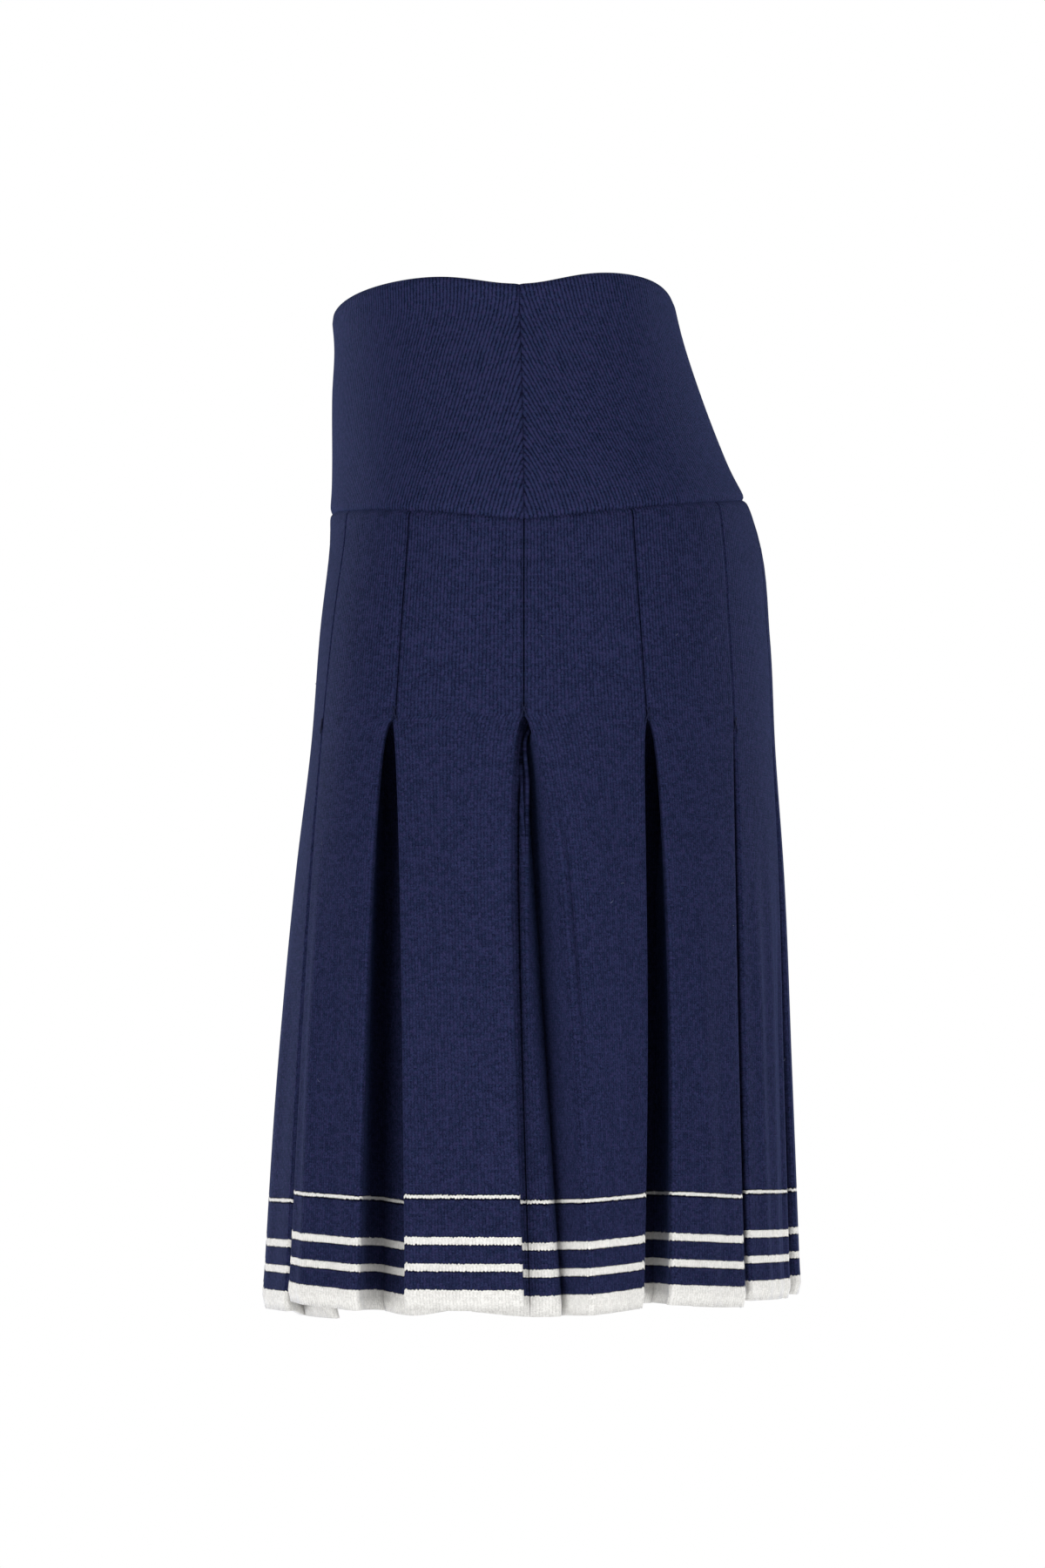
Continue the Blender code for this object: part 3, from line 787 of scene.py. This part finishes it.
# ---------------------------------------------------------------- meshes
def whole_piece(half, is_front):
    """One grid from the halves of the wearer's left and right side, which meet in the middle."""
    left_points, left_cloth = half("left", is_front)
    right_points, right_cloth = half("right", is_front)
    right_points = right_points * (-1.0, 1.0, 1.0)
    right_cloth = right_cloth * (-1.0, 1.0)
    middle = (left_points[:, :1] + right_points[:, :1]) / 2
    points = np.concatenate([right_points[:, :0:-1], middle, left_points[:, 1:]], axis=1)
    cloth = np.concatenate([right_cloth[:, :0:-1], left_cloth], axis=1)
    if not is_front:
        return points[:, ::-1], cloth[:, ::-1]
    return points, cloth


def add_piece(name, data, material):
    """A smooth mesh of one material as a piece on the root body."""
    data.shade_smooth()
    data.materials.append(material)
    thing = bpy.data.objects.new(name, data)
    bpy.context.scene.collection.objects.link(thing)
    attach(thing, "root")
    return thing


def cloth_shell(name, node, points, cloth, material):
    """A cloth wall through a grid of mid points, in place of its node."""
    rows, columns = points.shape[:2]
    index = np.arange(rows * columns).reshape(rows, columns)
    faces = np.stack([index[:-1, :-1], index[1:, :-1], index[1:, 1:], index[:-1, 1:]], axis=-1)
    faces = faces.reshape(-1, 4)
    data = bpy.data.meshes.new(name)
    data.from_pydata(points.reshape(-1, 3).tolist(), [], faces.tolist())
    layer = data.uv_layers.new(name="cloth")
    layer.data.foreach_set("uv", cloth.reshape(-1, 2)[faces.ravel()].ravel())
    thing = add_piece(name, data, material)
    wall = thing.modifiers.new("wall", "SOLIDIFY")
    wall.thickness = WALL
    wall.offset = 0.0
    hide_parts(node)
    return thing


def tube(path, radius):
    """Points and faces of a thin round thread along a path."""
    path = np.array(path)
    along = np.gradient(path, axis=0)
    along /= np.linalg.norm(along, axis=1)[:, None]
    first = np.cross(along, (0.0, 0.0, 1.0))
    first /= np.linalg.norm(first, axis=1)[:, None]
    second = np.cross(along, first)
    angles = np.arange(THREAD_SIDES) * 2 * math.pi / THREAD_SIDES
    ring = np.cos(angles)[None, :, None] * first[:, None]
    ring = ring + np.sin(angles)[None, :, None] * second[:, None]
    points = (path[:, None] + ring * radius).reshape(-1, 3)
    faces = []
    for step in range(len(path) - 1):
        for side in range(THREAD_SIDES):
            corner, following = step * THREAD_SIDES, (side + 1) % THREAD_SIDES
            low, high = corner + side, corner + following
            faces.append((low, high, high + THREAD_SIDES, low + THREAD_SIDES))
    faces.append(tuple(range(THREAD_SIDES))[::-1])
    faces.append(tuple(range(len(points) - THREAD_SIDES, len(points))))
    return points, faces


def thread_piece(name, paths, radius, material):
    """Many short threads as one piece."""
    points, faces = [], []
    for path in paths:
        start = len(points)
        thread_points, thread_faces = tube(path, radius)
        points.extend(thread_points.tolist())
        faces.extend([tuple(start + corner for corner in face) for face in thread_faces])
    data = bpy.data.meshes.new(name)
    data.from_pydata(points, [], faces)
    add_piece(name, data, material)


def surface_path(distances, heights, proud):
    """World points of a thread that lies on the cloth of the wearer's left side."""
    return on_garment(to_turn(heights, distances), -proud, heights)


def tack_paths():
    """Two crossed stitches over the end of every pleat but those beside the centre faces."""
    shares = np.linspace(0.0, 1.0, THREAD_STEPS)
    proud = THREAD_RADIUS + TACK_ARCH * np.sin(math.pi * shares)
    paths = []
    for pleat in PLEATS[1:-1]:
        for lean in (-1, 1):
            low, high = lean * TACK_LOW.x, -lean * TACK_HIGH.x
            distances = pleat.at_slit + low + (high - low) * shares
            heights = SLIT + TACK_LOW.y + (TACK_HIGH.y - TACK_LOW.y) * shares
            path = surface_path(distances, heights, proud)
            paths += [path, path * (-1.0, 1.0, 1.0)]
    return paths


def lint_paths():
    """Short curled fibres that cling to the cloth, scattered over every side."""
    chance = np.random.default_rng(LINT_SEED)
    shares = np.linspace(0.0, 1.0, THREAD_STEPS)
    paths = []
    for _ in range(LINT_FIBRES):
        height = chance.uniform(*LINT_HEIGHTS)
        reach = quarter_length(height, True), quarter_length(height, False)
        distance = chance.uniform(-reach[0], reach[1])
        lean, curl = chance.uniform(0, 2 * math.pi), chance.uniform(-LINT_CURL, LINT_CURL)
        length = chance.uniform(*LINT_LENGTHS)
        angles = lean + curl * shares
        distances = distance + np.cumsum(np.cos(angles)) * length / THREAD_STEPS
        heights = height + np.cumsum(np.sin(angles)) * length / THREAD_STEPS
        path = surface_path(distances, heights, LINT_PROUD + LINT_ARCH * np.sin(math.pi * shares))
        paths.append(path * (chance.choice((-1.0, 1.0)), 1.0, 1.0))
    return paths


# ---------------------------------------------------------------- materials
def feed(tree, socket, value):
    """Links another node's output to a socket, or sets the socket's own value."""
    if isinstance(value, bpy.types.NodeSocket):
        tree.links.new(value, socket)
    else:
        socket.default_value = value


def add_node(tree, kind, settings=None, **inputs):
    """A shader node with its settings and inputs given by name, where _ stands for a space."""
    node = tree.nodes.new(kind)
    for key, value in (settings or {}).items():
        setattr(node, key, value)
    for key, value in inputs.items():
        feed(tree, node.inputs[key.replace("_", " ")], value)
    return node


def calc(tree, operation, *values):
    """A math node's result."""
    node = tree.nodes.new("ShaderNodeMath")
    node.operation = operation
    for socket, value in zip(node.inputs, values):
        feed(tree, socket, value)
    return node.outputs[0]


def mixed_colour(tree, share, first, second):
    node = tree.nodes.new("ShaderNodeMix")
    node.data_type = "RGBA"
    for place, value in ((0, share), (6, first), (7, second)):
        feed(tree, node.inputs[place], value)
    return node.outputs[2]


def noise(tree, place, scale, detail=2.0, roughness=0.6):
    """Soft noise round zero, roughly from -0.5 to 0.5."""
    node = add_node(
        tree, "ShaderNodeTexNoise", Vector=place, Scale=scale, Detail=detail, Roughness=roughness
    )
    return calc(tree, "SUBTRACT", node.outputs["Fac"], 0.5)


def new_material(name, **inputs):
    """A material's node tree and its shader, with inputs where _ stands for a space."""
    material = bpy.data.materials.new(name)
    material.use_nodes = True
    tree = material.node_tree
    shader = tree.nodes["Principled BSDF"]
    for key, value in inputs.items():
        feed(tree, shader.inputs[key.replace("_", " ")], value)
    return material, tree, shader


def stripe_ramp(tree, height):
    """Red where the yarn is ivory, and green where a stripe throws its thin shadow."""
    ramp = add_node(
        tree,
        "ShaderNodeValToRGB",
        Fac=calc(tree, "MULTIPLY_ADD", height, 1 / STRIPE_SPAN, -STRIPE_START / STRIPE_SPAN),
    )
    band = ramp.color_ramp
    band.interpolation = "CONSTANT"
    band.elements.remove(band.elements[1])
    band.elements[0].position = 0.0
    band.elements[0].color = (1.0, 0.0, 0.0, 1.0)
    for stripe in STRIPES:
        for start, red, green in (
            (stripe.low - STRIPE_SHADOW, 0.0, 1.0),
            (stripe.low, 1.0, 0.0),
            (stripe.high, 0.0, 1.0),
            (stripe.high + STRIPE_TOP_SHADOW, 0.0, 0.0),
        ):
            position = (start - STRIPE_START) / STRIPE_SPAN
            if position > 0:
                band.elements.new(position).color = (red, green, 0.0, 1.0)
    parts = add_node(tree, "ShaderNodeSeparateColor", Color=ramp.outputs["Color"])
    return parts.outputs["Red"], parts.outputs["Green"]


def knit_material(knit, striped):
    """Fine knit: upright wales of V stitches in a soft, slightly mottled yarn, with painted shade
    in the grooves between the wales.
    """
    material, tree, shader = new_material(
        knit.name,
        Roughness=KNIT_ROUGHNESS,
        Specular_IOR_Level=KNIT_SPECULAR,
        Sheen_Weight=FUZZ,
        Sheen_Roughness=FUZZ_ROUGHNESS,
        Sheen_Tint=FUZZ_TINT,
    )
    place = add_node(tree, "ShaderNodeUVMap", {"uv_map": "cloth"}).outputs["UV"]
    parts = add_node(tree, "ShaderNodeSeparateXYZ", Vector=place)
    across, up = parts.outputs["X"], parts.outputs["Y"]
    fibres = noise(tree, place, FIBRE_SCALE, FIBRE_DETAIL, FIBRE_ROUGHNESS)
    mottle = noise(tree, place, MOTTLE_SCALE)
    wobble = noise(tree, place, WOBBLE_SCALE, PLAIN_DETAIL)
    wander = noise(tree, place, WANDER_SCALE, PLAIN_DETAIL)

    wales = calc(tree, "MULTIPLY_ADD", across, 1 / knit.wale, 0.0)
    wales = calc(tree, "MULTIPLY_ADD", wander, WANDER, wales)
    wales = calc(tree, "MULTIPLY_ADD", wobble, WOBBLE, wales)
    groove = calc(tree, "ABSOLUTE", calc(tree, "SUBTRACT", calc(tree, "FRACT", wales), 0.5))
    groove = calc(tree, "MULTIPLY", groove, 2.0)
    hollow = calc(tree, "POWER", groove, GROOVE_POWER)
    courses = calc(tree, "MULTIPLY_ADD", groove, 0.5, calc(tree, "MULTIPLY", up, 1 / COURSE))
    courses = calc(tree, "MULTIPLY_ADD", mottle, WOBBLE, courses)
    in_course = calc(tree, "MULTIPLY_ADD", calc(tree, "FRACT", courses), 2.0, -1.0)
    ends = calc(tree, "MULTIPLY", in_course, in_course)
    cell = add_node(
        tree, "ShaderNodeCombineXYZ", X=calc(tree, "FLOOR", wales), Y=calc(tree, "FLOOR", courses)
    )
    chance = add_node(tree, "ShaderNodeTexWhiteNoise", Vector=cell.outputs["Vector"])
    chance = chance.outputs["Value"]

    # how much painted shade the grooves get at this height; it also scales their bump
    darkness = add_node(
        tree,
        "ShaderNodeMapRange",
        {"interpolation_type": "SMOOTHSTEP"},
        Value=up,
        From_Min=knit.worn,
        From_Max=knit.full,
        To_Min=knit.faint,
        To_Max=knit.groove,
    ).outputs["Result"]
    variety = calc(tree, "MULTIPLY_ADD", chance, STITCH_VARIETY, -STITCH_VARIETY / 2)
    variety = calc(tree, "MULTIPLY_ADD", fibres, FIBRE_TONE, variety)
    variety = calc(tree, "MULTIPLY_ADD", mottle, MOTTLE_TONE, variety)
    variety = calc(tree, "MULTIPLY_ADD", noise(tree, place, CLOUD_SCALE), CLOUD_TONE, variety)
    variety = calc(tree, "MULTIPLY_ADD", ends, -STITCH_SHADE, variety)
    flecks = noise(tree, place, FLECK_SCALE, PLAIN_DETAIL)
    flecks = calc(tree, "SUBTRACT", flecks, FLECK_LEVEL - 0.5)
    flecks = calc(tree, "MULTIPLY", calc(tree, "MAXIMUM", flecks, 0.0), FLECK_TONE)
    tone = calc(tree, "ADD", calc(tree, "ADD", variety, flecks), BASE_TONE * knit.tone)
    # painted shade: the colour darkens in the wales' grooves
    depth = calc(tree, "MULTIPLY", calc(tree, "SUBTRACT", hollow, MEAN_HOLLOW), darkness)
    tone = calc(tree, "SUBTRACT", tone, depth)
    hue = calc(tree, "MULTIPLY_ADD", chance, HUE_CHANCE, 0.5 - HUE_CHANCE / 2)
    hue = calc(tree, "MULTIPLY_ADD", wobble, HUE_WOBBLE, hue)
    navy = mixed_colour(tree, hue, NAVY_TEAL, NAVY_PURPLE)
    colour = mixed_colour(tree, tone, NAVY_DARK, navy)
    if striped:
        edge = calc(tree, "MULTIPLY_ADD", groove, -ZIGZAG, calc(tree, "ADD", up, ZIGZAG / 2))
        edge = calc(tree, "MULTIPLY_ADD", wobble, EDGE_STRAY, edge)
        is_ivory, is_shadow = stripe_ramp(tree, edge)
        pale = calc(tree, "MULTIPLY_ADD", variety, IVORY_VARIETY, IVORY_TONE)
        # painted shade in the grooves of the ivory yarn too
        pale = calc(tree, "MULTIPLY_ADD", hollow, -knit.faint, pale)
        ivory = mixed_colour(tree, pale, IVORY_DARK, IVORY_LIGHT)
        colour = mixed_colour(tree, is_shadow, colour, NAVY_DARK)
        colour = mixed_colour(tree, is_ivory, colour, ivory)
    height = calc(tree, "MULTIPLY", hollow, calc(tree, "MULTIPLY", darkness, -1.0))
    height = calc(tree, "MULTIPLY_ADD", fibres, FIBRE_RELIEF, height)
    height = calc(tree, "MULTIPLY_ADD", ends, -STITCH_SHADE, height)
    bump = add_node(tree, "ShaderNodeBump", Height=height, Distance=RIB_RELIEF, Strength=1.0)
    feed(tree, shader.inputs["Base Color"], colour)
    feed(tree, shader.inputs["Normal"], bump.outputs["Normal"])
    return material


def yarn_material(name, dark, light, scale):
    """A loose yarn, slightly mottled along its length."""
    material, tree, shader = new_material(
        name, Roughness=YARN_ROUGHNESS, Specular_IOR_Level=YARN_SPECULAR
    )
    place = tree.nodes.new("ShaderNodeNewGeometry").outputs["Position"]
    share = calc(tree, "ADD", noise(tree, place, scale), 0.5)
    feed(tree, shader.inputs["Base Color"], mixed_colour(tree, share, dark, light))
    return material


def floor_material():
    return new_material(
        "pale_floor",
        Base_Color=FLOOR_COLOUR,
        Roughness=1.0,
        Emission_Color=FLOOR_COLOUR,
        Emission_Strength=FLOOR_GLOW,
    )[0]


# ---------------------------------------------------------------- stage
def make_camera():
    data = bpy.data.cameras.new("camera")
    data.lens = FOCAL_MM
    data.sensor_width = SENSOR_MM
    data.sensor_height = SENSOR_MM
    data.sensor_fit = "AUTO"
    data.shift_y = CAMERA_SHIFT
    camera = bpy.data.objects.new("camera", data)
    camera.location = CAMERA_AT
    camera.rotation_euler = (CAMERA_AIM - CAMERA_AT).to_track_quat("-Z", "Y").to_euler()
    bpy.context.scene.collection.objects.link(camera)
    bpy.context.scene.camera = camera


def make_lights():
    for box in SOFTBOXES:
        data = bpy.data.lights.new(box.name, "AREA")
        data.shape = "RECTANGLE"
        data.size = box.width
        data.size_y = box.height
        data.energy = box.watts
        light = bpy.data.objects.new(box.name, data)
        light.location = box.place
        light.rotation_euler = (SOFTBOX_AIM - light.location).to_track_quat("-Z", "Y").to_euler()
        bpy.context.scene.collection.objects.link(light)


def make_world():
    """A white backdrop that gives the garment only a part of its light."""
    world = bpy.data.worlds.new("studio")
    world.use_nodes = True
    tree = world.node_tree
    seen = tree.nodes.new("ShaderNodeLightPath").outputs["Is Camera Ray"]
    strength = calc(tree, "MULTIPLY_ADD", seen, BACKDROP - AMBIENT, AMBIENT)
    background = tree.nodes["Background"]
    feed(tree, background.inputs["Color"], (1.0, 1.0, 1.0, 1.0))
    feed(tree, background.inputs["Strength"], strength)
    bpy.context.scene.world = world
    bpy.context.scene.view_settings.view_transform = "Standard"


def make_floor():
    rim = [
        (FLOOR_RADIUS * math.cos(angle), FLOOR_RADIUS * math.sin(angle), FLOOR_Z)
        for angle in np.linspace(0, 2 * math.pi, FLOOR_SIDES, endpoint=False)
    ]
    data = bpy.data.meshes.new("floor")
    data.from_pydata(rim, [], [list(range(FLOOR_SIDES))])
    data.materials.append(floor_material())
    floor = bpy.data.objects.new("floor", data)
    bpy.context.scene.collection.objects.link(floor)


# ---------------------------------------------------------------- the garment
def main():
    make_camera()
    make_lights()
    make_world()
    make_floor()
    navy_knit = knit_material(YOKE_KNIT, False)
    striped_knit = knit_material(SKIRT_KNIT, True)
    for name, half, is_front, material, slot, flat, area in (
        ("knit_yoke_front", yoke_half, True, navy_knit, "navy_knit", YOKE_FLAT, YOKE_AREA),
        ("knit_yoke_back", yoke_half, False, navy_knit, "navy_knit", YOKE_FLAT, YOKE_AREA),
        ("knit_skirt_front", skirt_half, True, striped_knit, "striped_knit", SKIRT_FLAT, None),
        ("knit_skirt_back", skirt_half, False, striped_knit, "striped_knit", SKIRT_FLAT, None),
    ):
        points, cloth = whole_piece(half, is_front)
        shell = cloth_shell(name, name.replace("knit_", ""), points, cloth, material)
    tack_yarn = yarn_material("tack_yarn", NAVY_DARK, NAVY_TACK, FIBRE_SCALE)
    thread_piece("pleat_tacks", tack_paths(), THREAD_RADIUS, tack_yarn)
    pale_lint = yarn_material("pale_lint", LINT_DARK, LINT_LIGHT, LINT_MOTTLE_SCALE)
    thread_piece("lint", lint_paths(), LINT_RADIUS, pale_lint)


main()
